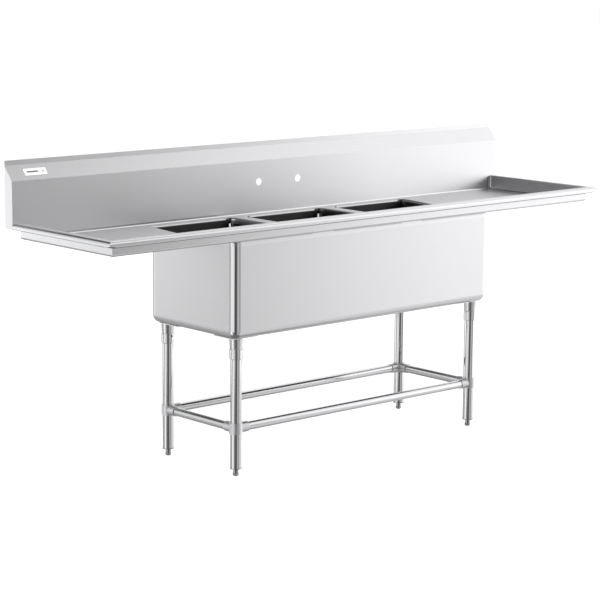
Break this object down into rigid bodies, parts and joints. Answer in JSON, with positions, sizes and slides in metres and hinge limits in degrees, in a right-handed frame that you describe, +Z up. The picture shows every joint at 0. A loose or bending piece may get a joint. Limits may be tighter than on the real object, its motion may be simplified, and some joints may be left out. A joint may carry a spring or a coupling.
{
  "type": "three compartment sink",
  "caption": "Free-standing steel scullery sink: bowls in a row between two drainboards, tall backsplash, rolled front rim, braced tube legs on screw feet",
  "frame": {"origin": "middle of the footprint, on the floor", "axes": "+X along the sink, seen from the front to the right; +Y to the wall; +Z up"},
  "size_m": [2.495, 0.62, 1.149],
  "materials": {
    "rim_steel": "satin, polished roll",
    "backsplash_steel": "satin, grain along the length",
    "deck_steel": "satin",
    "tub_steel": "satin panels with polished corners",
    "bowl_steel": "satin",
    "socket_steel": "satin",
    "plug_steel": "turned",
    "leg_steel": "polished tube",
    "fitting_metal": "tumbled casting",
    "screw_steel": "dark zinc",
    "brace_steel": "polished tube",
    "foot_steel": "turned",
    "blank_plate": "white print, blank"
  },
  "bodies": {
    "sink": {"backsplash": "backsplash_steel", "backsplash_cap_left": "backsplash_steel", "backsplash_cap_right": "backsplash_steel", "bowl_deck": "deck_steel", "bowl_floor_center": "bowl_steel", "bowl_floor_left": "bowl_steel", "bowl_floor_right": "bowl_steel", "brace_back": "brace_steel", "brace_fitting_back_left": "fitting_metal", "brace_fitting_back_right": "fitting_metal", "brace_fitting_front_left": "fitting_metal", "brace_fitting_front_right": "fitting_metal", "brace_front": "brace_steel", "brace_left": "brace_steel", "brace_right": "brace_steel", "brace_set_screws": "screw_steel", "drainboard_left": "deck_steel", "drainboard_right": "deck_steel", "front_rim": "rim_steel", "left_rim": "rim_steel", "leg_back_left": "leg_steel", "leg_back_right": "leg_steel", "leg_front_left": "leg_steel", "leg_front_right": "leg_steel", "leg_plate_back_left": "socket_steel", "leg_plate_back_right": "socket_steel", "leg_plate_front_left": "socket_steel", "leg_plate_front_right": "socket_steel", "leg_plug_back_left": "plug_steel", "leg_plug_back_right": "plug_steel", "leg_plug_front_left": "plug_steel", "leg_plug_front_right": "plug_steel", "leg_socket_back_left": "socket_steel", "leg_socket_back_right": "socket_steel", "leg_socket_front_left": "socket_steel", "leg_socket_front_right": "socket_steel", "maker_plate": "blank_plate", "partition_left": "bowl_steel", "partition_right": "bowl_steel", "right_rim": "rim_steel", "socket_set_screws": "screw_steel", "tub_back_panel": "tub_steel", "tub_end_left": "tub_steel", "tub_end_right": "tub_steel", "tub_front_panel": "tub_steel"},
    "screw_foot_front_left": {"foot_front_left": "foot_steel"},
    "screw_foot_front_right": {"foot_front_right": "foot_steel"},
    "screw_foot_back_left": {"foot_back_left": "foot_steel"},
    "screw_foot_back_right": {"foot_back_right": "foot_steel"}
  },
  "joints": [
    {"name": "foot_front_left_screw_height", "type": "slide", "parent": "sink", "child": "screw_foot_front_left", "axis": [0, 0, 1], "range_m": [-0.012, 0.012]},
    {"name": "foot_front_right_screw_height", "type": "slide", "parent": "sink", "child": "screw_foot_front_right", "axis": [0, 0, 1], "range_m": [-0.012, 0.012]},
    {"name": "foot_back_left_screw_height", "type": "slide", "parent": "sink", "child": "screw_foot_back_left", "axis": [0, 0, 1], "range_m": [-0.012, 0.012]},
    {"name": "foot_back_right_screw_height", "type": "slide", "parent": "sink", "child": "screw_foot_back_right", "axis": [0, 0, 1], "range_m": [-0.012, 0.012]}
  ]
}
